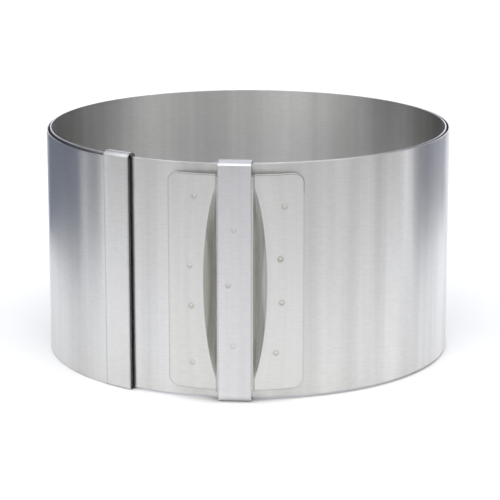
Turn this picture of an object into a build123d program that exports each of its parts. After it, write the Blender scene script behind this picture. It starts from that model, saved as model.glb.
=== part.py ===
from build123d import *
import os
from math import cos, pi, radians, sin

# Adjustable cake ring, shown closed to its smallest size, in millimetres.
# One long springy steel strip is coiled on itself. A folded clip on the strip's outer end
# hooks over the lap inside it and slides along that lap, so the ring opens and closes.
# A pressed grip plate with a guide strip over its ridge is welded on the next lap.
# The origin is in the middle of the footprint, at the height of the surface it stands on.
# The grip faces -Y, and seen from above the strip runs anticlockwise to its outer end.

# Strip
ring_radius = 76.0
sheet = 0.5
band_height = 85.0
lap_gap = 0.9
outer_end_angle = 330.2
inner_end_angle = 370.0
end_corner_radius = 7.0
lap_rise = 0.9

# The strip flexes between these many spans on each side of the grip
outer_spans = 13
inner_spans = 15

# Running room between the hooks and the strip's edges and inner face
clip_head_clearance = 0.7
clip_back_clearance = 1.5
guide_head_clearance = 0.5
guide_back_clearance = 0.9
seat_clearance = 0.05
end_clearance = 0.3

# Clip on the outer end
clip_width = 11.3
clip_sheet = 0.5
clip_leg = 7.0
clip_foot_bend_radius = 0.9
clip_head_bend_radius = 1.7

# Grip plate
plate_half_angle = 18.7
plate_height = 78.5
plate_drop = 3.4
plate_sheet = 0.5
plate_side_trim = 0.2
plate_corner_radius = 3.6
plate_crown = 2.6
ridge_height = 4.4
ridge_crest_width = 12.4
ridge_base_width = 15.2
recess_end_width = 13.6
recess_middle_width = 25.2
recess_floor_width = 1.4
grip_margin_angle = 1.8

# Spot welds, as small pressed dimples
weld_mouth_radius = 1.3
weld_floor_radius = 0.75
left_weld_height_shares = (0.897, 0.575, 0.389, 0.124)
left_weld_side_shares = (-0.58, -0.65, -0.633, -0.62)
right_weld_height_shares = (0.85, 0.61, 0.408, 0.175)
right_weld_side_shares = (0.697, 0.64, 0.66, 0.578)

# Guide strip over the ridge
guide_width = 12.0
guide_sheet = 0.5
guide_leg = 9.0
guide_bend_radius = 1.2
guide_front_foot_bend_radius = 4.0
guide_weld_radius = 1.0
guide_weld_depth = 0.25
guide_weld_height_shares = (0.733, 0.499, 0.238)
guide_weld_side_shares = (-0.01, -0.19, -0.04)

# The ring's axis stands this far behind the origin, which makes up for the proud grip
axis_setback = 2.2

# One overrun serves every cut
overrun = 2.0

full_angle = 360.0
front_angle = -90.0
lap_pitch = sheet + lap_gap
grip_half_angle = plate_half_angle + grip_margin_angle
plate_seat = ring_radius + seat_clearance


def strip_radius(turn):
    # Outer face of the strip, at a turn counted from the grip towards the outer end
    beyond = max(abs(turn) - grip_half_angle, 0)
    wound = lap_pitch * beyond / full_angle
    return ring_radius + (wound if turn > 0 else -wound)


def strip_point(turn, depth=0):
    angle = radians(front_angle + turn)
    radius = strip_radius(turn) - depth
    return (radius * cos(angle), radius * sin(angle))


def strip_foot(turn):
    # The outer lap climbs from its end to the grip, which leaves room for the clip's foot
    climb = outer_end_angle - max(turn, grip_half_angle)
    return lap_rise * climb / (outer_end_angle - grip_half_angle)


grip_foot = strip_foot(0)
plate_foot = grip_foot + band_height - plate_drop - plate_height


def strip_span(start, end):
    # A stretch of the strip between two turns
    middle = (start + end) / 2
    with BuildPart() as span:
        with BuildSketch(Plane.XY.offset(strip_foot(middle))):
            with BuildLine():
                ThreePointArc(strip_point(start), strip_point(middle), strip_point(end))
                Line(strip_point(end), strip_point(end, sheet))
                ThreePointArc(
                    strip_point(end, sheet),
                    strip_point(middle, sheet),
                    strip_point(start, sheet),
                )
                Line(strip_point(start, sheet), strip_point(start))
            make_face()
        extrude(amount=band_height)
    return span


def hook_profile(front, back, foot, head, leg, thickness, back_foot_bend, front_foot_bend, head_bend):
    # Section of a sheet bent over both edges of the strip, open between its two back legs
    half = thickness / 2
    with BuildLine() as middle:
        FilletPolyline(
            (back + half, foot + leg),
            (back + half, foot + half),
            (front - half, foot + half),
            (front - half, head - half),
            (back + half, head - half),
            (back + half, head - leg),
            radius=[back_foot_bend - half, front_foot_bend - half, head_bend - half, head_bend - half],
        )
    trace(middle.line, line_width=thickness)


def radial_plane(turn):
    # Upright plane through the ring's axis: its x runs outwards and its y upwards
    angle = radians(front_angle + turn)
    return Plane(
        origin=(0, 0, 0),
        x_dir=(cos(angle), sin(angle), 0),
        z_dir=(sin(angle), -cos(angle), 0),
    )


def save(piece, name):
    # Pieces are drawn about the ring's axis and set back from the origin here
    part = piece.part.moved(Location((0, axis_setback, 0)))
    part.label = name
    export_step(part, "parts/" + name + ".step")


# Grip plate: the pressed skin is the space between two like forms, one a sheet's
# thickness inside the other
def pressed_form(inset, run_past):
    foot = plate_foot - run_past
    height = plate_height + 2 * run_past
    edge_radius = plate_seat + plate_sheet - inset
    side_angle = radians(plate_half_angle)
    edge_x = edge_radius * sin(side_angle)
    edge_y = -edge_radius * cos(side_angle)
    back_radius = plate_seat - run_past
    back_x = back_radius * sin(side_angle)
    back_y = -back_radius * cos(side_angle)
    crown_y = -(ring_radius + plate_crown - inset)
    crest_y = -(ring_radius + ridge_height - inset)
    crest_x = ridge_crest_width / 2 - inset
    base_x = ridge_base_width / 2 - inset
    base_y = -(ring_radius + plate_sheet + seat_clearance - inset) * cos(
        radians(plate_half_angle / 3)
    )
    recess_low = plate_foot - overrun
    recess_high = plate_foot + plate_height + overrun
    recess_middle = (recess_low + recess_high) / 2
    end_x = recess_end_width / 2 + inset
    middle_x = recess_middle_width / 2 + inset
    with BuildPart() as form:
        # Plate, bent tighter than the ring so that it stands proud beside the ridge
        with BuildSketch(Plane.XY.offset(foot)):
            with BuildLine():
                ThreePointArc((-edge_x, edge_y), (0, crown_y), (edge_x, edge_y))
                Line((edge_x, edge_y), (back_x, back_y))
                ThreePointArc((back_x, back_y), (0, -back_radius), (-back_x, back_y))
                Line((-back_x, back_y), (-edge_x, edge_y))
            make_face()
        extrude(amount=height)
        # Finger recesses, which slope down from a curved crease to the ridge's foot
        floor_x = base_x + recess_floor_width
        for level, bulge_x in ((crest_y, middle_x + ridge_height), (base_y, floor_x)):
            with BuildSketch(Plane.XZ.offset(-level)):
                with BuildLine():
                    ThreePointArc(
                        (end_x, recess_low), (bulge_x, recess_middle), (end_x, recess_high)
                    )
                    Line((end_x, recess_high), (-end_x, recess_high))
                    ThreePointArc(
                        (-end_x, recess_high), (-bulge_x, recess_middle), (-end_x, recess_low)
                    )
                    Line((-end_x, recess_low), (end_x, recess_low))
                make_face()
        loft(ruled=True, mode=Mode.SUBTRACT)
        # Weld dimples that reach down to the strip
        for height_shares, side_shares in (
            (left_weld_height_shares, left_weld_side_shares),
            (right_weld_height_shares, right_weld_side_shares),
        ):
            for height_share, side_share in zip(height_shares, side_shares):
                angle = radians(front_angle + side_share * plate_half_angle)
                seat_plane = Plane(
                    origin=(
                        edge_radius * cos(angle),
                        edge_radius * sin(angle),
                        plate_foot + height_share * plate_height,
                    ),
                    z_dir=(cos(angle), sin(angle), 0),
                )
                with Locations(seat_plane.location):
                    Cone(
                        bottom_radius=weld_floor_radius + inset,
                        top_radius=weld_mouth_radius + inset,
                        height=plate_crown,
                        align=(Align.CENTER, Align.CENTER, Align.MIN),
                        mode=Mode.SUBTRACT,
                    )
        # Ridge between the recesses
        with BuildSketch(Plane.XY.offset(foot)):
            with BuildLine():
                Line((-crest_x, crest_y), (crest_x, crest_y))
                Line((crest_x, crest_y), (base_x, base_y))
                Line((base_x, base_y), (-base_x, base_y))
                Line((-base_x, base_y), (-crest_x, crest_y))
            make_face()
        extrude(amount=height)
    return form


os.makedirs("parts", exist_ok=True)

# The clip's middle is half its width back from the strip's outer end
clip_half_angle = clip_width / 2 / (pi * ring_radius) * full_angle / 2
clip_angle = outer_end_angle - clip_half_angle
clipped_lap_top = strip_foot(clip_angle - full_angle) + band_height
end_foot = clip_foot_bend_radius + end_clearance

# Strip, in spans: the one under the grip, those towards the outer end, whose last is cut
# away to stand inside the clip, and those towards the inner end, whose last is rounded
band_root = strip_span(-grip_half_angle, grip_half_angle)
save(band_root, "band_grip_span")

outer_step = (outer_end_angle - grip_half_angle) / outer_spans
for number in range(outer_spans):
    start = grip_half_angle + number * outer_step
    span = strip_span(start, start + outer_step)
    if number == outer_spans - 1:
        with BuildPart() as trimmed:
            add(span.part)
            with BuildSketch(radial_plane(clip_angle)):
                with Locations((strip_radius(clip_angle), 0)):
                    Rectangle(clip_width, 2 * end_foot)
            extrude(
                amount=clip_width / 2 + end_clearance,
                both=True,
                mode=Mode.SUBTRACT,
            )
        span = trimmed
    save(span, f"band_outer_span_{number + 1:02d}")

inner_step = (inner_end_angle - grip_half_angle) / inner_spans
for number in range(inner_spans):
    start = -grip_half_angle - number * inner_step
    span = strip_span(start, start - inner_step)
    if number == inner_spans - 1:
        end_x, end_y = strip_point(start - inner_step, sheet / 2)
        end_point = (end_x, end_y, strip_foot(start) + band_height / 2)
        with BuildPart() as rounded:
            add(span.part)
            corners = rounded.faces().sort_by_distance(end_point)[0].edges()
            fillet(corners.filter_by(Axis.Z, reverse=True), end_corner_radius)
        span = rounded
    save(span, f"band_inner_span_{number + 1:02d}")

# Clip folded over the outer end, with hooks round both edges of the lap inside it
clip_inner_face = strip_radius(clip_angle) + seat_clearance
clip_back = clip_inner_face - lap_pitch - sheet - clip_back_clearance - clip_sheet
with BuildPart() as outer_end_clip:
    with BuildSketch(radial_plane(clip_angle)):
        hook_profile(
            clip_inner_face + clip_sheet,
            clip_back,
            0,
            clipped_lap_top + clip_head_clearance + clip_sheet,
            clip_leg,
            clip_sheet,
            clip_foot_bend_radius,
            clip_foot_bend_radius,
            clip_head_bend_radius,
        )
    extrude(amount=clip_width / 2, both=True)
save(outer_end_clip, "outer_end_clip")

# Grip plate, trimmed to its rounded outline
outer_form = pressed_form(0, 0)
inner_form = pressed_form(plate_sheet, overrun)
plate_width = 2 * plate_seat * sin(radians(plate_half_angle)) - 2 * plate_side_trim
with BuildPart() as grip_plate:
    add(outer_form.part)
    add(inner_form.part, mode=Mode.SUBTRACT)
    with BuildSketch(Plane.XZ):
        with Locations((0, plate_foot + plate_height / 2)):
            RectangleRounded(plate_width, plate_height, plate_corner_radius)
    extrude(amount=ring_radius + ridge_height + overrun, mode=Mode.INTERSECT)
save(grip_plate, "grip_plate")

# Guide strip on the ridge's crest, hooked over both edges of the band and its inner lap
guide_front = ring_radius + ridge_height + seat_clearance + guide_sheet
guide_back = ring_radius - lap_pitch - sheet - guide_back_clearance - guide_sheet
guided_lap_top = strip_foot(-full_angle) + band_height
with BuildPart() as guide_strip:
    with BuildSketch(radial_plane(0)):
        hook_profile(
            guide_front,
            guide_back,
            0,
            guided_lap_top + guide_head_clearance + guide_sheet,
            guide_leg,
            guide_sheet,
            guide_bend_radius,
            guide_front_foot_bend_radius,
            guide_bend_radius,
        )
    extrude(amount=guide_width / 2, both=True)
    for height_share, side_share in zip(guide_weld_height_shares, guide_weld_side_shares):
        weld_plane = Plane(
            origin=(
                side_share * guide_width,
                -guide_front,
                grip_foot + height_share * band_height,
            ),
            z_dir=(0, -1, 0),
        )
        with Locations(weld_plane.location):
            Hole(radius=guide_weld_radius, depth=guide_weld_depth)
save(guide_strip, "guide_strip")
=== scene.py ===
import math

import bpy
import numpy as np
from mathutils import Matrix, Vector


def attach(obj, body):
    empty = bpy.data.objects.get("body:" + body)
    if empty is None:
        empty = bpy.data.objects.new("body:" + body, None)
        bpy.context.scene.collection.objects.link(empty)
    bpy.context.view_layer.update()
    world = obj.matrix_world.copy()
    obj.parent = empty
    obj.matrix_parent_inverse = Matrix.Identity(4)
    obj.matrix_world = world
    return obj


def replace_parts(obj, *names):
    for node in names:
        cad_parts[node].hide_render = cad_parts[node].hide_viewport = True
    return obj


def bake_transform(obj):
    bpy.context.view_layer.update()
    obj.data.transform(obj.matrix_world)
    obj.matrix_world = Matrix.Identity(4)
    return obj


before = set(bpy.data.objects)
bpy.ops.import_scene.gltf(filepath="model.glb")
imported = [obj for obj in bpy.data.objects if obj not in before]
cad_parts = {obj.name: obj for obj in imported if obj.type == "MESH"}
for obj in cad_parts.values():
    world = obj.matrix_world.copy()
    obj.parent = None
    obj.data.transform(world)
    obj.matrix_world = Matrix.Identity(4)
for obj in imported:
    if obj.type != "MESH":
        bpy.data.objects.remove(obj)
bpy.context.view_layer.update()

# Sizes in millimetres and angles in degrees, as in the part: the strip is coiled about an axis set
# back from the origin. A turn is an angle from the grip's middle, positive along the outer lap.
MM = 0.001
AXIS_SETBACK = 2.2
RING_RADIUS = 76.0
SHEET = 0.5
HALF_SHEET = SHEET / 2
BAND_HEIGHT = 85.0
LAP_PITCH = 1.4
OUTER_END_ANGLE = 330.2
INNER_END_ANGLE = 370.0
GRIP_HALF_ANGLE = 20.5
OUTER_SPANS = 13
INNER_SPANS = 15
LAP_RISE = 0.9
END_CORNER_RADIUS = 7.0
EDGE_ROUND = 0.1
BOX_MARGIN = 0.005
GRIP_COLUMNS = 41
SPAN_COLUMNS = 37
NOTCH_STEP = 0.02
END_STEP = 0.08

# The strip stays rigid under the plate up to this angle
RIGID_ANGLE = 12.5

# Grip plate
PLATE_HALF_ANGLE = 18.7
PLATE_SEAT = 76.05
PLATE_SHEET = 0.5
PLATE_HEIGHT = 78.5
PLATE_DROP = 3.4
PLATE_CORNER = 3.6
PLATE_ROUND = 0.2
PLATE_INSET = 0.2
PLATE_CROWN = 2.6
RIDGE_HEIGHT = 4.4
CREST_HALF = 6.2
BASE_HALF = 7.6
RECESS_END = 4.4
RECESS_MIDDLE = 12.6
RECESS_FLOOR = 1.4
RECESS_OVERRUN = 2.0
RECESS_SEAT = 0.55
CREASE_ROUND = 0.2
CREASE_MOST = 0.35
FOOT_BEND = 0.3
CREST_BEND = 0.85
SCOOP_START = 0.95
ARCH_COLUMNS = 46
PLATE_ROWS = 300
BORDER_WIDTH = 0.45

# Painted shade in the hollows, for the right and the left: below the crease, half way down and at the
# wall's foot; then the wall's own painted shade, and the width from which a hollow has all of its shade
HOLLOW_SHADES = ((0.47, 0.2, 0.48), (0.57, 0.65, 0.65))
WALL_SHADE = 0.14
HOLLOW_FULL_WIDTH = 4.0

# Weld marks on the plate, as shares of its half width and of its height
WELD_SHARES = (
    (-0.58, 0.897), (-0.65, 0.575), (-0.633, 0.389), (-0.62, 0.124),
    (0.697, 0.85), (0.64, 0.61), (0.66, 0.408), (0.578, 0.175),
)

# Guide strip and clip: their bends are given from the inside of the foot round to the head. The
# welds are shares of the guide's width and of the band's height.
GUIDE_WIDTH = 12.0
GUIDE_WELDS = ((-0.01, 0.733), (-0.19, 0.499), (-0.04, 0.238))
GUIDE_BENDS = (0.95, 3.75, 0.75, 0.95)
GUIDE_FRONT_GAP = 0.55
GUIDE_BACK_GAP = 0.9
GUIDE_HEAD_GAP = 0.5
GUIDE_LEG = 9.0
CLIP_WIDTH = 11.3
CLIP_ANGLE = 8.7
CLIP_BENDS = (0.65, 0.65, 1.45, 1.45)
CLIP_FRONT_GAP = 0.05
CLIP_BACK_GAP = 1.5
CLIP_HEAD_GAP = 0.7
CLIP_LEG = 7.0
CLIP_NOTCH = 1.2
HOOK_ROUND = 0.12
HOOK_SPACING = 0.45

# Weld marks: mouth radius, floor radius and depth; radius and half width of their stain; its amounts
PLATE_DENT = (0.95, 0.45, 0.12)
GUIDE_DENT = (0.9, 0.4, 0.08)
STAIN_RING = (0.8, 0.32)
PLATE_STAINS = (0.5, 0.35, 0.65, 0.4, 0.6, 0.95, 0.7, 0.55)
GUIDE_STAINS = (0.35, 0.5, 0.3)
SLOPE_STEP = 0.02

# How dark the painted shade is on cut edges: a painted shadow line under the band at its foot, painted
# shadow along a hook's side, painted shade on the plate's rim, and the painted shadow lines round the
# plate, at its top and right and at its foot and left
FOOT_SHADOW = 0.6
HOOK_SIDE_SHADE = 0.4
RIM_EDGE_SHADE = 0.5
OUTLINE_SHADES = (0.7, 0.3)

# Noise in the steel: scale along and up the sheet, detail, roughness and shift
FINE_GRAIN = (330.0, 2600.0, 2.0, 0.55, 0.0)
PATCHES = (14.0, 11.0, 3.0, 0.55, 9.1)
BANDS = (60.0, 2.0, 2.0, 0.5, 17.3)
THIN_LINES = (420.0, 6.0, 3.0, 0.6, 23.9)
WAVES = (38.0, 4.0, 1.0, 0.55, 5.5)
NOISE_RANGE = (0.3, 0.7)
PATCH_RANGE = (0.35, 0.65)

# Strength and depth in metres of the grain and of the waves
GRAIN_BUMP = (0.3, 0.000004)
WAVE_BUMP = (1.0, 0.00025)
ANISOTROPY = 0.75
GRAIN_TURN = 0.25
ROUGHNESS_SPREAD = 0.025
GRAIN_DIP = 0.08
LINE_DIP = 0.06

# Attributes of the meshes that stain or darken the steel: weld stains, cut edges darkened with painted
# shade, and painted shade in the hollows; with each one's colour and its most
STAINS_AND_SHADE = (
    ("weld_stain", (0.30, 0.24, 0.17), 0.75),
    ("cut_edge_and_shade", (0.10, 0.10, 0.10), 0.9),
    ("hollow_shade", (0.10, 0.092, 0.045), 1.0),
)

# Cards: name, azimuths from -Y, distance from the ring's middle and height in metres, and colour
CARDS = (
    ("dark_card", -138, -88, 0.22, 0.2, (0.155, 0.175, 0.225)),
    ("left_card", -88, -74, 0.26, 0.12, (0.21, 0.22, 0.25)),
    ("side_card", 97, 118, 0.26, 0.12, (0.17, 0.18, 0.22)),
    ("right_card", 118, 142, 0.27, 0.12, (0.33, 0.34, 0.39)),
    ("front_card", -74, 92, 0.37, 0.1, (0.28, 0.28, 0.28)),
)
CARD_FACES = 12
FLOOR_HALF = 6
FLOOR_DROP = 0.0001
FLOOR_SHADE = 0.93
MATT = 0.9

# Sky: an even light with bells of light on it, each with its azimuth from -Y, positive to the right,
# and its width, power and amount. The sky is given low, at middle height and overhead.
LOW_SKY = (1.0, (
    (-52, 28, 2, 0.5), (-124, 34, 4, -1.1), (62, 26, 2, 0.2), (132, 28, 2, -0.7),
    (180, 16, 2, 1.0), (-180, 12, 2, 1.2),
))
MIDDLE_SKY = (0.4, ((0, 95, 4, 2.1), (-128, 36, 2, -0.45)))
TOP_SKY = 2.1
SKY_STRENGTH = 0.80
SKY_TINT = (-0.05, -0.03, 0.06)

# Elevations over which the sky changes, and azimuths over which it takes on its tint
LOW_TO_MIDDLE = (8, 26)
MIDDLE_TO_TOP = (36, 66)
PLAIN_TO_TINT = (70, 120)

# Camera: distance in metres, angles in degrees, and lens
CAMERA_DISTANCE = 0.8421
CAMERA_ELEVATION = 13.54
CAMERA_AZIMUTH = 3.66
CAMERA_LENS = 156.98
CAMERA_SENSOR = 36
CAMERA_SHIFT = (0.00158, -0.03221)
CAMERA_CLIP = (0.05, 20)

OUTER_STEP = (OUTER_END_ANGLE - GRIP_HALF_ANGLE) / OUTER_SPANS
INNER_STEP = (INNER_END_ANGLE - GRIP_HALF_ANGLE) / INNER_SPANS


def strip_radius(turn):
    beyond = np.maximum(np.abs(turn) - GRIP_HALF_ANGLE, 0)
    return RING_RADIUS + np.sign(turn) * LAP_PITCH * beyond / 360


def strip_foot(turn):
    climb = OUTER_END_ANGLE - np.maximum(turn, GRIP_HALF_ANGLE)
    return LAP_RISE * climb / (OUTER_END_ANGLE - GRIP_HALF_ANGLE)


def ring_place(turn, out, along, z):
    # A point at a turn from the grip, plus a length along the ring, in the frame's metres
    angle = np.radians(turn - 90) + along / RING_RADIUS
    return np.stack([out * np.cos(angle), out * np.sin(angle) + AXIS_SETBACK, z], -1) * MM


def ring_normal(turn, along, n_out, n_along, n_z):
    angle = np.radians(turn - 90) + along / RING_RADIUS
    c, s = np.cos(angle), np.sin(angle)
    return np.stack([n_out * c - n_along * s, n_out * s + n_along * c, n_z + 0 * c], -1)


def flat_place(out, along, z):
    return np.stack([along, AXIS_SETBACK - out, z], -1) * MM


def flat_normal(n_out, n_along, n_z):
    return np.stack([n_along, -n_out, n_z], -1)


def unit(v):
    return v / np.maximum(np.linalg.norm(v, axis=-1, keepdims=True), 1e-12)


def marks(shape, weld=0.0, cut=0.0, shade=0.0):
    """How far each point is stained by a weld, darkened as a cut edge with painted shade, or darkened by
    painted shade in a hollow.
    """
    return np.stack([np.broadcast_to(v, shape) for v in (weld, cut, shade)], -1)


def make_piece(name, grids, material):
    """One closed mesh from grids of (points, normals, uv, marks), joined where they meet."""
    points = np.concatenate([g[0].reshape(-1, 3) for g in grids])
    tints = np.concatenate([g[3].reshape(-1, 3) for g in grids])
    faces, normals, coords = [], [], []
    base = 0
    for p, n, uv, tint in grids:
        rows, cols = p.shape[:2]
        index = np.arange(rows * cols).reshape(rows, cols)
        quads = np.stack([index[:-1, :-1], index[:-1, 1:], index[1:, 1:], index[1:, :-1]], -1)
        quads = quads.reshape(-1, 4)
        flat_p, flat_n = p.reshape(-1, 3), n.reshape(-1, 3)
        corner = flat_p[quads]
        turned = np.cross(corner[:, 2] - corner[:, 0], corner[:, 3] - corner[:, 1])
        facing = (turned * flat_n[quads].sum(1)).sum(1)
        quads = np.where(facing[:, None] < 0, quads[:, ::-1], quads)
        faces.append(quads + base)
        normals.append(flat_n[quads])
        coords.append(uv.reshape(-1, 2)[quads])
        base += rows * cols
    faces, normals, coords = map(np.concatenate, (faces, normals, coords))
    _, first, inverse = np.unique(
        np.round(points, 8), axis=0, return_index=True, return_inverse=True
    )
    faces = inverse.reshape(-1)[faces]
    kept_faces, kept_normals, kept_coords = [], [], []
    for face, normal, coord in zip(faces, normals, coords):
        keep = [k for k in range(4) if face[k] != face[k - 1]]
        if len(keep) > 2:
            kept_faces.append([int(face[k]) for k in keep])
            kept_normals.extend(normal[keep])
            kept_coords.extend(coord[keep])
    mesh = bpy.data.meshes.new(name)
    mesh.from_pydata(points[first].tolist(), [], kept_faces)
    layer = mesh.uv_layers.new(name="UVMap")
    layer.data.foreach_set("uv", np.array(kept_coords, np.float32).ravel())
    for column, (label, _, _) in enumerate(STAINS_AND_SHADE):
        layer = mesh.attributes.new(label, "FLOAT", "POINT")
        layer.data.foreach_set("value", tints[first, column].astype(np.float32))
    mesh.polygons.foreach_set("use_smooth", [True] * len(mesh.polygons))
    mesh.normals_split_custom_set(unit(np.array(kept_normals)).tolist())
    mesh.materials.append(material)
    piece = bpy.data.objects.new(name, mesh)
    bpy.context.scene.collection.objects.link(piece)
    return piece


def sheet_loop(half_thick, low, high, rounding, steps):
    """Section of a sheet: rows of (across the sheet, along it, normal across, normal along).
    It starts at the middle of the low edge and goes round by the outer face."""
    arc = np.linspace(0, math.pi / 2, 4)
    flat = half_thick - rounding
    low_c, high_c = low + rounding, high - rounding
    face = np.linspace(low_c, high_c, steps + 1)[1:-1]
    parts = [
        (np.array([0.0]), np.array([low]), np.array([0.0]), np.array([-1.0])),
        (flat + rounding * np.sin(arc), low_c - rounding * np.cos(arc), np.sin(arc), -np.cos(arc)),
        (half_thick + 0 * face, face, 1 + 0 * face, 0 * face),
        (flat + rounding * np.cos(arc), high_c + rounding * np.sin(arc), np.cos(arc), np.sin(arc)),
        (np.array([0.0]), np.array([high]), np.array([0.0]), np.array([1.0])),
    ]
    a, b, na, nb = (np.concatenate([p[k] for p in parts]) for k in range(4))
    back = slice(-2, 0, -1)
    return (
        np.concatenate([a, -a[back], a[:1]]),
        np.concatenate([b, b[back], b[:1]]),
        np.concatenate([na, -na[back], na[:1]]),
        np.concatenate([nb, nb[back], nb[:1]]),
    )


def caps(p, n_first, n_last, uv):
    """The two end faces of a swept loop whose far half mirrors its near half."""
    out = []
    half = p.shape[1] // 2
    for row, normal in ((0, n_first), (-1, n_last)):
        near = p[row, : half + 1]
        far = p[row, half:][::-1]
        pts = np.stack([near, far])
        # End faces are painted fully dark: partly their cut edge, partly painted shadow for the gap beside
        # an end
        out.append((pts, np.broadcast_to(normal, pts.shape).copy(),
                    np.stack([uv[row, : half + 1]] * 2), marks(pts.shape[:2], cut=1.0)))
    return out


def noise_steel(name, warm, cool, rough, band_dip, seed):
    """Brushed stainless steel: fine grain along the sheet, upright bands, patches and soft waves."""
    mat = bpy.data.materials.new(name)
    mat.use_nodes = True
    nodes, links = mat.node_tree.nodes, mat.node_tree.links
    nodes.clear()
    out = nodes.new("ShaderNodeOutputMaterial")
    bsdf = nodes.new("ShaderNodeBsdfPrincipled")
    links.new(bsdf.outputs["BSDF"], out.inputs["Surface"])
    bsdf.inputs["Metallic"].default_value = 1.0
    bsdf.inputs["Anisotropic"].default_value = ANISOTROPY
    bsdf.inputs["Anisotropic Rotation"].default_value = GRAIN_TURN
    tangent = nodes.new("ShaderNodeTangent")
    tangent.direction_type = "UV_MAP"
    tangent.uv_map = "UVMap"
    links.new(tangent.outputs["Tangent"], bsdf.inputs["Tangent"])
    uv = nodes.new("ShaderNodeUVMap")
    uv.uv_map = "UVMap"

    def noise(scale_u, scale_v, detail, roughness, shift):
        mapping = nodes.new("ShaderNodeMapping")
        mapping.inputs["Scale"].default_value = (scale_u, scale_v, 1.0)
        mapping.inputs["Location"].default_value = (seed + shift, 2 * seed - shift, seed)
        links.new(uv.outputs["UV"], mapping.inputs["Vector"])
        tex = nodes.new("ShaderNodeTexNoise")
        tex.inputs["Scale"].default_value = 1.0
        tex.inputs["Detail"].default_value = detail
        tex.inputs["Roughness"].default_value = roughness
        links.new(mapping.outputs["Vector"], tex.inputs["Vector"])
        return tex.outputs["Fac"]

    def ranged(value, low, high, to_low, to_high):
        node = nodes.new("ShaderNodeMapRange")
        node.inputs["From Min"].default_value = low
        node.inputs["From Max"].default_value = high
        node.inputs["To Min"].default_value = to_low
        node.inputs["To Max"].default_value = to_high
        links.new(value, node.inputs["Value"])
        return node.outputs["Result"]

    def mixed(factor, a, b):
        node = nodes.new("ShaderNodeMix")
        node.data_type = "RGBA"
        links.new(factor, node.inputs["Factor"])
        for socket, value in ((node.inputs["A"], a), (node.inputs["B"], b)):
            if isinstance(value, tuple):
                socket.default_value = (*value, 1.0)
            else:
                links.new(value, socket)
        return node.outputs["Result"]

    fine, patch, band, thin = (noise(*kind) for kind in (FINE_GRAIN, PATCHES, BANDS, THIN_LINES))

    tinted = mixed(ranged(patch, *PATCH_RANGE, 0.0, 1.0), cool, warm)
    for value, dip in ((fine, GRAIN_DIP), (band, band_dip), (thin, LINE_DIP)):
        lined = nodes.new("ShaderNodeMix")
        lined.data_type = "RGBA"
        lined.blend_type = "MULTIPLY"
        lined.inputs["Factor"].default_value = 1.0
        links.new(tinted, lined.inputs["A"])
        links.new(ranged(value, *NOISE_RANGE, 1 - dip, 1.0), lined.inputs["B"])
        tinted = lined.outputs["Result"]
    # Weld stains, and painted shade on cut edges, outlines and in the hollows, mixed into the colour
    for label, colour_there, most in STAINS_AND_SHADE:
        attribute = nodes.new("ShaderNodeAttribute")
        attribute.attribute_name = label
        tinted = mixed(ranged(attribute.outputs["Fac"], 0.0, 1.0, 0.0, most), tinted, colour_there)
    links.new(tinted, bsdf.inputs["Base Color"])

    roughness = ranged(patch, *NOISE_RANGE, rough - ROUGHNESS_SPREAD, rough + ROUGHNESS_SPREAD)
    links.new(roughness, bsdf.inputs["Roughness"])

    def bumped(height, values):
        node = nodes.new("ShaderNodeBump")
        node.inputs["Strength"].default_value, node.inputs["Distance"].default_value = values
        links.new(height, node.inputs["Height"])
        return node

    bump = bumped(fine, GRAIN_BUMP)
    wave = bumped(noise(*WAVES), WAVE_BUMP)
    links.new(wave.outputs["Normal"], bump.inputs["Normal"])
    links.new(bump.outputs["Normal"], bsdf.inputs["Normal"])
    return mat


# Each steel's warm and cool colour, roughness, depth of bands and seed
band_steel = noise_steel("band_steel", (0.820, 0.815, 0.796), (0.812, 0.811, 0.806), 0.30, 0.28, 1.3)
plate_steel = noise_steel("pressed_steel", (0.757, 0.755, 0.729), (0.751, 0.750, 0.731), 0.31, 0.14, 4.9)
guide_steel = noise_steel("guide_steel", (0.752, 0.746, 0.754), (0.745, 0.740, 0.759), 0.30, 0.14, 8.2)
clip_steel = noise_steel("clip_steel", (0.768, 0.765, 0.749), (0.762, 0.759, 0.752), 0.28, 0.16, 12.6)


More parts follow.
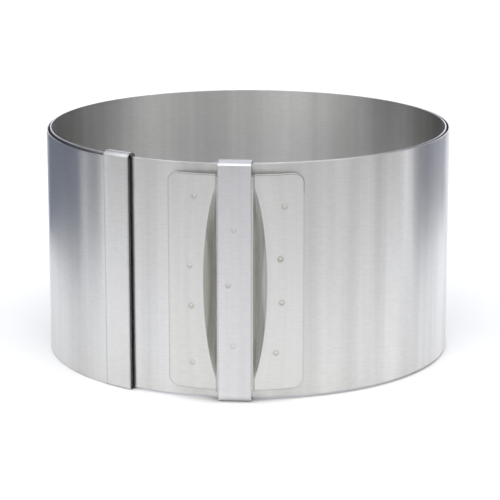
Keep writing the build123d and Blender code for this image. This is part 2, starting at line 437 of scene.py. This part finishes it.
def band_piece(name, turns, end_last=False, foot_cut=None):
    """A stretch of the strip through these turns. Its last end can have rounded corners, and
    foot_cut gives the height below which it is cut away."""
    turns = np.asarray(turns, float)
    radius = strip_radius(turns) - BOX_MARGIN
    foot = strip_foot(turns)
    inset = np.zeros(len(turns))
    tilt = np.zeros(len(turns))
    if end_last:
        left = np.radians(np.abs(turns - turns[-1])) * RING_RADIUS
        near = left < END_CORNER_RADIUS
        share = np.clip(1 - left / END_CORNER_RADIUS, 0, 1)
        inset = np.where(near, END_CORNER_RADIUS * (1 - np.sqrt(1 - share**2)), 0)
        tilt = np.where(near, np.arcsin(share), 0)
    rows = []
    for k in range(len(turns)):
        low = foot[k] + inset[k]
        if foot_cut is not None:
            low = max(low, foot_cut(turns[k]))
        high = foot[k] + BAND_HEIGHT - inset[k]
        rows.append(sheet_loop(HALF_SHEET, low, high, EDGE_ROUND, 6))
    a, b, na, nb = (np.stack([r[k] for r in rows]) for k in range(4))
    grid_turn = np.broadcast_to(turns[:, None], a.shape)
    out = radius[:, None] - HALF_SHEET + a
    p = ring_place(grid_turn, out, 0 * a, b)
    forward = np.sign(turns[-1] - turns[0])
    n_along = np.abs(nb) * np.sin(tilt)[:, None] * forward
    n = unit(ring_normal(grid_turn, 0 * a, na, n_along, nb * np.cos(tilt)[:, None]))
    length = np.radians(turns)[:, None] * RING_RADIUS
    uv = np.stack([length + 0 * b, b + (a - HALF_SHEET)], -1) * MM
    # Painted shadow: the band's lower edge is darkened as the shadow line at its foot
    cut = np.where(nb < -0.1, FOOT_SHADOW, 0)
    # Painted shadow: the outer end beside the clip is darkened fully, as the shadow in the gap there
    if foot_cut is not None:
        cut[-1] = 1.0
    tint = marks(a.shape, cut=cut)
    first = ring_normal(turns[:1], 0, 0, -forward, 0)[0]
    last = ring_normal(turns[-1:], 0, 0, forward, 0)[0]
    grids = [(p, n, uv, tint)] + caps(p, first, last, uv)
    return make_piece(name, grids, band_steel)


def clip_foot_cut(turn):
    return CLIP_NOTCH if turn > OUTER_END_ANGLE - CLIP_ANGLE else -math.inf


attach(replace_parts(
    band_piece("band_under_grip", np.linspace(-RIGID_ANGLE, RIGID_ANGLE, GRIP_COLUMNS)), "band_grip_span"),
    "grip")

for side, count, step, end in ((1, OUTER_SPANS, OUTER_STEP, OUTER_END_ANGLE),
                               (-1, INNER_SPANS, INNER_STEP, INNER_END_ANGLE)):
    word = "outer" if side > 0 else "inner"
    bodies = ["grip"] + [f"{word}_span_{k + 1:02d}" for k in range(count)]
    for k in range(count):
        hinge = GRIP_HALF_ANGLE + k * step
        start = RIGID_ANGLE if k == 0 else hinge - step / 2
        stop = hinge + step / 2
        turns = side * np.linspace(start, stop, SPAN_COLUMNS)
        piece = band_piece(f"band_{word}_{k + 1:02d}", turns)
        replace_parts(piece, "band_" + bodies[k + 1])
        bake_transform(piece)
    start = GRIP_HALF_ANGLE + (count - 0.5) * step
    if side > 0:
        edge = OUTER_END_ANGLE - CLIP_ANGLE
        before_clip = np.linspace(start, edge - NOTCH_STEP, 8)
        under_clip = np.linspace(edge + NOTCH_STEP, end - END_STEP, 18)
        turns = np.concatenate([before_clip, under_clip, [end]])
        piece = band_piece("band_outer_end", turns, foot_cut=clip_foot_cut)
    else:
        corner = math.degrees(END_CORNER_RADIUS / RING_RADIUS)
        curve = corner * (1 - np.sin(np.linspace(0, math.pi / 2, 13)))
        turns = -np.concatenate([np.linspace(start, end - corner, 12)[:-1], end - curve])
        piece = band_piece("band_inner_end", turns, end_last=True)
    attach(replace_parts(piece, "band_" + bodies[-1]), bodies[-1])


def bent_path(corners, radii, spacing):
    """Points, outer normals and lengths along a polyline with rounded corners."""
    corners = [np.array(c, float) for c in corners]
    points, normals = [], []
    cursor = corners[0]
    for k in range(1, len(corners)):
        before = unit(corners[k] - corners[k - 1])
        target = corners[k]
        if k < len(corners) - 1:
            target = corners[k] - before * radii[k - 1]
        length = np.linalg.norm(target - cursor)
        count = max(2, int(round(length / spacing)) + 1)
        for t in np.linspace(0, 1, count):
            points.append(cursor + (target - cursor) * t)
            normals.append(np.array([before[1], -before[0]]))
        cursor = target
        if k < len(corners) - 1:
            after = unit(corners[k + 1] - corners[k])
            centre = corners[k] - before * radii[k - 1] + after * radii[k - 1]
            for t in np.linspace(0, math.pi / 2, 8)[1:-1]:
                n0 = np.array([before[1], -before[0]])
                n1 = np.array([after[1], -after[0]])
                n = n0 * math.cos(t) + n1 * math.sin(t)
                points.append(centre + n * radii[k - 1])
                normals.append(n)
            cursor = corners[k] + after * radii[k - 1]
    points, normals = np.array(points), np.array(normals)
    gone = np.linalg.norm(np.diff(points, axis=0), axis=1)
    keep = np.concatenate([[True], gone > 1e-6])
    points, normals = points[keep], normals[keep]
    length = np.concatenate([[0], np.cumsum(np.linalg.norm(np.diff(points, axis=0), axis=1))])
    return points, normals, length


def dent_depth(w, z, spots, mouth, floor, depth):
    total = np.zeros(np.broadcast(w, z).shape)
    for sw, sz in spots:
        r = np.hypot(w - sw, z - sz)
        t = np.clip((r - floor) / (mouth - floor), 0, 1)
        total = np.maximum(total, depth * (1 - t * t * (3 - 2 * t)))
    return total


def stain(w, z, spots, amounts):
    total = np.zeros(np.broadcast(w, z).shape)
    for (sw, sz), amount in zip(spots, amounts):
        gap = (np.hypot(w - sw, z - sz) - STAIN_RING[0]) / STAIN_RING[1]
        total = np.maximum(total, amount * np.exp(-gap**2))
    return total


def hook_piece(name, corners, radii, width, columns, place, normal, spots, material):
    """A sheet bent over both edges of the strip. Spots are weld marks on its front."""
    path, path_n, length = bent_path(corners, radii, HOOK_SPACING)
    a, b, na, nb = sheet_loop(HALF_SHEET, -width / 2, width / 2, HOOK_ROUND, columns)
    a, b, na, nb = (np.broadcast_to(v, (len(path), len(v))).copy() for v in (a, b, na, nb))
    front = path_n[:, :1] > 0.99
    z = np.broadcast_to(path[:, 1:], a.shape)
    outer = front & (na > 0.99)

    def dented(w, height):
        return dent_depth(w, height, spots, *GUIDE_DENT)

    e = SLOPE_STEP
    dent = np.where(outer, dented(b, z), 0)
    slope_b = np.where(outer, (dented(b + e, z) - dented(b - e, z)) / (2 * e), 0)
    slope_z = np.where(outer, (dented(b, z + e) - dented(b, z - e)) / (2 * e), 0)
    offset = a - dent
    out = path[:, :1] + path_n[:, :1] * offset
    zz = path[:, 1:] + path_n[:, 1:] * offset
    p = place(out, b, zz)
    n = normal(b, path_n[:, :1] * na, nb + slope_b, path_n[:, 1:] * na + slope_z)
    uv = np.stack([b + (a - HALF_SHEET), length[:, None] + 0 * b], -1) * MM
    # Painted shade: a hook's sides are darkened as shadow lines along its edges, its cut faces most
    border = np.abs(b) > width / 2 - HOOK_ROUND - 1e-6
    cut = np.where(border, np.maximum(nb**2, HOOK_SIDE_SHADE), 0)
    tint = marks(a.shape, weld=np.where(outer, stain(b, z, spots, GUIDE_STAINS), 0), cut=cut)
    first = np.array([path[0] - path[1]])
    last = np.array([path[-1] - path[-2]])
    ends = []
    for d in (unit(first)[0], unit(last)[0]):
        ends.append(normal(np.array(0.0), np.array(d[0]), np.array(0.0), np.array(d[1])))
    grids = [(p, unit(n), uv, tint)] + caps(p, ends[0], ends[1], uv)
    return make_piece(name, grids, material)


def hook_corners(back, front, head, leg):
    """Corners of a hook's middle line as (out, height), from the foot's free end to the head's."""
    back_line, front_line = back + HALF_SHEET, front - HALF_SHEET
    return [(back_line, leg), (back_line, HALF_SHEET), (front_line, HALF_SHEET),
            (front_line, head - HALF_SHEET), (back_line, head - HALF_SHEET), (back_line, head - leg)]


# Guide strip over the ridge, hooked over both edges
guide_front = RING_RADIUS + RIDGE_HEIGHT + GUIDE_FRONT_GAP
guide_back = RING_RADIUS - LAP_PITCH - SHEET - GUIDE_BACK_GAP - SHEET
guide_head = float(strip_foot(-360)) + BAND_HEIGHT + GUIDE_HEAD_GAP + SHEET
grip_foot = float(strip_foot(0))
guide = hook_piece(
    "guide_strip_dressed", hook_corners(guide_back, guide_front, guide_head, GUIDE_LEG),
    GUIDE_BENDS, GUIDE_WIDTH, 30, flat_place,
    lambda b, n_out, n_b, n_z: flat_normal(n_out, n_b, n_z),
    [(side * GUIDE_WIDTH, grip_foot + share * BAND_HEIGHT) for side, share in GUIDE_WELDS],
    guide_steel)
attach(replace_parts(guide, "guide_strip"), "grip")

# Clip on the outer end, hooked over the lap inside it
clip_half_angle = CLIP_WIDTH / 2 / (math.pi * RING_RADIUS) * 180
clip_angle = OUTER_END_ANGLE - clip_half_angle
clip_front = float(strip_radius(clip_angle)) + CLIP_FRONT_GAP + SHEET
clip_back = clip_front - SHEET - LAP_PITCH - SHEET - CLIP_BACK_GAP - SHEET
clip_head = float(strip_foot(clip_angle - 360)) + BAND_HEIGHT + CLIP_HEAD_GAP + SHEET
clip = hook_piece(
    "outer_end_clip_dressed", hook_corners(clip_back, clip_front, clip_head, CLIP_LEG),
    CLIP_BENDS, CLIP_WIDTH, 16,
    lambda out, b, z: ring_place(clip_angle, out, b, z),
    lambda b, n_out, n_b, n_z: ring_normal(clip_angle, b, n_out, n_b, n_z),
    [], clip_steel)
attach(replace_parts(clip, "outer_end_clip"), "outer_span_13")


# Grip plate: a pressed skin over a grid whose lines follow its creases
def plate_arch():
    """Centre and radius of the plate's crowned field, from the ring's axis."""
    edge = PLATE_SEAT + PLATE_SHEET
    half_chord = edge * math.sin(math.radians(PLATE_HALF_ANGLE))
    edge_out = edge * math.cos(math.radians(PLATE_HALF_ANGLE))
    crown = RING_RADIUS + PLATE_CROWN
    rise = crown - edge_out
    radius = (half_chord**2 + rise**2) / (2 * rise)
    return crown - radius, radius


def soft_bend(before, corner, after, steps):
    """Points of a bend that leaves one point and reaches another round a corner."""
    t = np.linspace(0, 1, steps)[:, None]
    return (1 - t) ** 2 * before + 2 * t * (1 - t) * corner + t**2 * after


def half_profile(z, foot, plate_edge):
    """The plate's right half from its side edge to its middle at a height: points in (x, out), and
    their painted shades on the right and on the left."""
    centre, radius = plate_arch()

    def arch(x):
        return centre + np.sqrt(radius**2 - x**2)

    base = (RING_RADIUS + RECESS_SEAT) * math.cos(math.radians(PLATE_HALF_ANGLE / 3))
    crest = RING_RADIUS + RIDGE_HEIGHT
    low, high = foot - RECESS_OVERRUN, foot + PLATE_HEIGHT + RECESS_OVERRUN
    mid, reach = (low + high) / 2, (high - low) / 2
    swell = RECESS_MIDDLE - RECESS_END
    bow = (reach**2 + swell**2) / (2 * swell)
    s = (math.sqrt(max(bow**2 - (z - mid) ** 2, 0)) - (bow - swell)) / swell
    s = min(max(s, 0), 1)
    floor_gain = BASE_HALF + RECESS_FLOOR - RECESS_END
    open_gain = RECESS_MIDDLE + RIDGE_HEIGHT - RECESS_END
    floor_x = RECESS_END + floor_gain * s
    t = max(0, (BASE_HALF - floor_x) / ((open_gain - floor_gain) * s + BASE_HALF - CREST_HALF))
    foot_at = np.array([BASE_HALF - (BASE_HALF - CREST_HALF) * t, base + (crest - base) * t])
    # The crease is where the recess's side meets the crowned field
    x = foot_at[0]
    for _ in range(40):
        level = (float(arch(x)) - base) / (crest - base)
        x = 0.5 * x + 0.5 * (RECESS_END + (floor_gain + (open_gain - floor_gain) * level) * s)
    y = float(arch(BASE_HALF))
    arch_wall = BASE_HALF - (BASE_HALF - CREST_HALF) * (y - base) / (crest - base)
    if x <= arch_wall + 1e-4:
        x = arch_wall
        foot_at = np.array([x, float(arch(x))])
    crease = np.array([x, float(arch(x))])
    top = np.array([CREST_HALF, crest])
    centre_top = np.array([0.0, crest])
    width = float(np.linalg.norm(crease - foot_at))
    share = min(CREASE_MOST, CREASE_ROUND / max(width, 1e-9))

    def scoop(t):
        fall = SCOOP_START * t + (1 - SCOOP_START) * t**2
        return np.stack([x + (foot_at[0] - x) * t, crease[1] + (foot_at[1] - crease[1]) * fall], -1)

    arch_x = np.linspace(plate_edge - PLATE_CORNER, x + max(share * width, 0.02), ARCH_COLUMNS)
    arch_line = np.stack([arch_x, arch(arch_x)], 1)
    soft = soft_bend(arch_line[-1], crease, scoop(share), 6)[1:]
    slope = scoop(np.linspace(share, 1 - share, 16)[1:])
    wall = (top - foot_at) / np.linalg.norm(top - foot_at)
    foot_bend = soft_bend(slope[-1], foot_at, foot_at + wall * FOOT_BEND, 6)[1:]
    head_bend = soft_bend(top - wall * CREST_BEND, top, top - np.array([CREST_BEND, 0]), 7)
    wall_line = foot_bend[-1] + (head_bend[0] - foot_bend[-1]) * np.linspace(0, 1, 7)[1:-1, None]
    flat_line = head_bend[-1] + (centre_top - head_bend[-1]) * np.linspace(0, 1, 6)[1:, None]
    # Painted shade down each hollow's slope and onto the ridge's wall, less where a hollow is narrow
    shades = [min(1, width / HOLLOW_FULL_WIDTH) * np.concatenate([
        np.zeros(len(arch_line)), np.linspace(0, first, len(soft)),
        np.interp(np.linspace(0, 1, len(slope)), (0, 0.5, 1), (first, middle, last)),
        np.linspace(last, WALL_SHADE, len(foot_bend)), np.linspace(WALL_SHADE, 0, len(wall_line)),
        np.zeros(len(head_bend) + len(flat_line)),
    ]) for first, middle, last in HOLLOW_SHADES]
    line = np.concatenate([arch_line, soft, slope, foot_bend, wall_line, head_bend, flat_line])
    return line, shades


def plate_piece():
    foot = grip_foot + BAND_HEIGHT - PLATE_DROP - PLATE_HEIGHT
    centre, radius = plate_arch()
    plate_edge = PLATE_SEAT * math.sin(math.radians(PLATE_HALF_ANGLE)) - PLATE_INSET - PLATE_ROUND
    low, high = foot + PLATE_ROUND, foot + PLATE_HEIGHT - PLATE_ROUND
    corner = PLATE_CORNER - PLATE_ROUND
    beta = np.linspace(0, math.pi / 2, 10)
    rim_x = plate_edge - PLATE_CORNER * (1 - np.cos(beta))
    rim_inset = corner * (1 - np.sin(beta))
    rows, shades = [], []
    for share in np.linspace(0, 1, PLATE_ROWS):
        z = low + share * (high - low)
        profile, halves = half_profile(z, foot, plate_edge)
        right_shade, left_shade = (np.concatenate([np.zeros(len(rim_x) - 1), h]) for h in halves)
        shades.append(np.concatenate([right_shade, left_shade[:-1][::-1]]))
        rim = np.stack([rim_x, centre + np.sqrt(radius**2 - rim_x**2)], 1)[:-1]
        line = np.concatenate([rim, profile])
        inset = np.concatenate([rim_inset[:-1], np.zeros(len(profile))])
        line_z = low + inset + share * (high - low - 2 * inset)
        right = np.column_stack([line[:, 0], line[:, 1], line_z])
        left = right[:-1][::-1] * np.array([-1, 1, 1])
        rows.append(np.concatenate([right, left]))
    grid = np.stack(rows)
    x, out, z = grid[..., 0], grid[..., 1], grid[..., 2]
    spots = []
    for side, s in WELD_SHARES:
        across = (PLATE_SEAT + PLATE_SHEET) * math.sin(math.radians(side * PLATE_HALF_ANGLE))
        spots.append((across, foot + s * PLATE_HEIGHT))
    out = out - dent_depth(x, z, spots, *PLATE_DENT)
    across = np.abs(x) - (plate_edge - PLATE_CORNER)
    upward = np.abs(z - (low + high) / 2) - ((high - low) / 2 - PLATE_CORNER)
    round_corner = PLATE_CORNER - np.hypot(np.maximum(across, 0), np.maximum(upward, 0))
    inside = np.minimum(round_corner, PLATE_CORNER - np.maximum(across, upward))
    # Painted shadow lines round the plate's outline, darker at its top and right than at its foot and left
    dark = np.where((z > high - 2 * PLATE_CORNER) & (x > -plate_edge + PLATE_CORNER), *OUTLINE_SHADES)
    border = dark * np.clip(1 - inside / BORDER_WIDTH, 0, 1)
    tint = marks(z.shape, weld=stain(x, z, spots, PLATE_STAINS), cut=border, shade=np.stack(shades))
    grid = np.stack([x, -out, z], -1)
    normal = unit(np.cross(np.gradient(grid, axis=0), np.gradient(grid, axis=1)))
    normal = np.where(normal[..., 1:2] > 0, -normal, normal)
    inner = grid - normal * PLATE_SHEET
    run = np.concatenate([[0], np.cumsum(np.linalg.norm(np.diff(grid[PLATE_ROWS // 2], axis=0), axis=1))])
    uv = np.stack([run[None, :] + 0 * z, z], -1) * MM
    rows_n, cols_n = z.shape
    ring = ([(0, j) for j in range(cols_n)] + [(i, cols_n - 1) for i in range(1, rows_n)]
            + [(rows_n - 1, j) for j in range(cols_n - 2, -1, -1)]
            + [(i, 0) for i in range(rows_n - 2, -1, -1)])
    ri, rj = np.array(ring).T
    edge_p, edge_n = grid[ri, rj], normal[ri, rj]
    after, before = np.roll(edge_p[:-1], -1, 0), np.roll(edge_p[:-1], 1, 0)
    along = unit(after - before)
    along = np.concatenate([along, along[:1]])
    outward = unit(np.cross(along, edge_n))
    middle = np.array([0, -RING_RADIUS, (low + high) / 2])
    flip = ((edge_p - middle) * outward * np.array([1, 0, 1])).sum(1) < 0
    outward = np.where(flip[:, None], -outward, outward)
    h = PLATE_SHEET / 2
    bend = np.linspace(0, math.pi, 7)[:, None, None]
    rim_n = edge_n * np.cos(bend) + outward * np.sin(bend)
    rim_p = edge_p - edge_n * h + edge_n * np.cos(bend) * h + outward * np.sin(bend) * PLATE_ROUND
    rim_uv = np.broadcast_to(uv[ri, rj], (7, len(ri), 2))
    shift = np.array([0, AXIS_SETBACK, 0])
    # Painted shade on the plate's rim, darkest half way round it
    rim_shade = np.broadcast_to(np.sin(bend[..., 0]), rim_p.shape[:2])
    grids = [
        ((grid + shift) * MM, normal, uv, tint),
        ((inner + shift) * MM, -normal, uv, marks(z.shape)),
        ((rim_p + shift) * MM, rim_n, rim_uv, marks(rim_p.shape[:2], cut=RIM_EDGE_SHADE * rim_shade)),
    ]
    return make_piece("grip_plate_dressed", grids, plate_steel)


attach(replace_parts(plate_piece(), "grip_plate"), "grip")


def matt_paper(name, colour):
    paper = bpy.data.materials.new(name)
    paper.use_nodes = True
    bsdf = paper.node_tree.nodes["Principled BSDF"]
    bsdf.inputs["Base Color"].default_value = (*colour, 1)
    bsdf.inputs["Roughness"].default_value = MATT
    return paper


# Floor
floor_mesh = bpy.data.meshes.new("floor")
floor_corners = [(side * FLOOR_HALF, end * FLOOR_HALF, 0)
                 for side, end in ((-1, -1), (1, -1), (1, 1), (-1, 1))]
floor_mesh.from_pydata(floor_corners, [], [(0, 1, 2, 3)])
floor = bpy.data.objects.new("floor", floor_mesh)
floor.location.z = -FLOOR_DROP
bpy.context.scene.collection.objects.link(floor)
floor_mesh.materials.append(matt_paper("pale_floor", (FLOOR_SHADE,) * 3))


# Cards that show in the steel alone, where they darken its upper part
def studio_card(name, from_deg, to_deg, away, height, colour):
    columns = CARD_FACES + 1
    turn = np.radians(np.linspace(from_deg, to_deg, columns))
    line = np.stack([away * np.sin(turn), -away * np.cos(turn)], -1)
    points = [(x, y, z) for z in (0.0, height) for x, y in line]
    faces = [(k, k + 1, k + columns + 1, k + columns) for k in range(CARD_FACES)]
    mesh = bpy.data.meshes.new(name)
    mesh.from_pydata(points, [], faces)
    card = bpy.data.objects.new(name, mesh)
    bpy.context.scene.collection.objects.link(card)
    mesh.materials.append(matt_paper(name, colour))
    card.visible_camera = False
    card.visible_diffuse = False
    card.visible_shadow = False


for card_values in CARDS:
    studio_card(*card_values)

# Soft daylight: bright overhead, in front and right behind, and dimmer behind on both sides
world = bpy.data.worlds.new("studio")
bpy.context.scene.world = world
world.use_nodes = True
w_nodes, w_links = world.node_tree.nodes, world.node_tree.links
background = w_nodes["Background"]
background.inputs["Strength"].default_value = SKY_STRENGTH
place = w_nodes.new("ShaderNodeTexCoord")
split = w_nodes.new("ShaderNodeSeparateXYZ")
w_links.new(place.outputs["Generated"], split.inputs["Vector"])


def w_math(operation, a, b=None, c=None):
    node = w_nodes.new("ShaderNodeMath")
    node.operation = operation
    for socket, value in zip(node.inputs, (a, b, c)):
        if value is None:
            continue
        if isinstance(value, (int, float)):
            socket.default_value = value
        else:
            w_links.new(value, socket)
    return node.outputs["Value"]


azimuth = w_math("ARCTAN2", split.outputs["X"], w_math("MULTIPLY", split.outputs["Y"], -1))


def sky_ring(base, bells):
    light = base
    for centre_deg, width_deg, power, amount in bells:
        away = w_math("SUBTRACT", azimuth, math.radians(centre_deg))
        gap = w_math("DIVIDE", away, math.radians(width_deg))
        fall = w_math("EXPONENT", w_math("MULTIPLY", w_math("POWER", w_math("ABSOLUTE", gap), power), -1))
        light = w_math("ADD", w_math("MULTIPLY", fall, amount), light)
    return w_math("MAXIMUM", light, 0)


def sky_step(low_deg, high_deg):
    node = w_nodes.new("ShaderNodeMapRange")
    w_links.new(split.outputs["Z"], node.inputs["Value"])
    node.inputs["From Min"].default_value = math.sin(math.radians(low_deg))
    node.inputs["From Max"].default_value = math.sin(math.radians(high_deg))
    return node.outputs["Result"]


def sky_mix(share, a, b):
    return w_math("ADD", w_math("MULTIPLY", a, w_math("SUBTRACT", 1, share)), w_math("MULTIPLY", b, share))


sky = sky_mix(sky_step(*LOW_TO_MIDDLE), sky_ring(*LOW_SKY), sky_ring(*MIDDLE_SKY))
sky = sky_mix(sky_step(*MIDDLE_TO_TOP), sky, TOP_SKY)

# The sky is a little bluer at the sides
side = w_nodes.new("ShaderNodeMapRange")
w_links.new(w_math("ABSOLUTE", azimuth), side.inputs["Value"])
side.inputs["From Min"].default_value = math.radians(PLAIN_TO_TINT[0])
side.inputs["From Max"].default_value = math.radians(PLAIN_TO_TINT[1])
tint = w_nodes.new("ShaderNodeCombineXYZ")
for socket, change in zip(tint.inputs, SKY_TINT):
    share = w_math("MULTIPLY_ADD", side.outputs["Result"], change, 1.0)
    w_links.new(w_math("MULTIPLY", sky, share), socket)
w_links.new(tint.outputs["Vector"], background.inputs["Color"])

# Camera at the photograph's angle
cam_data = bpy.data.cameras.new("camera")
cam = bpy.data.objects.new("camera", cam_data)
bpy.context.scene.collection.objects.link(cam)
elevation, swing = math.radians(CAMERA_ELEVATION), math.radians(CAMERA_AZIMUTH)
target = Vector((0, AXIS_SETBACK * MM, BAND_HEIGHT / 2 * MM))
back = Vector((math.cos(elevation) * math.sin(swing),
               -math.cos(elevation) * math.cos(swing), math.sin(elevation)))
cam.location = target + back * CAMERA_DISTANCE
cam.rotation_euler = (-back).to_track_quat("-Z", "Y").to_euler()
cam_data.sensor_width = CAMERA_SENSOR
cam_data.lens = CAMERA_LENS
cam_data.shift_x, cam_data.shift_y = CAMERA_SHIFT
cam_data.clip_start, cam_data.clip_end = CAMERA_CLIP
bpy.context.scene.camera = cam
bpy.context.scene.view_settings.view_transform = "Standard"
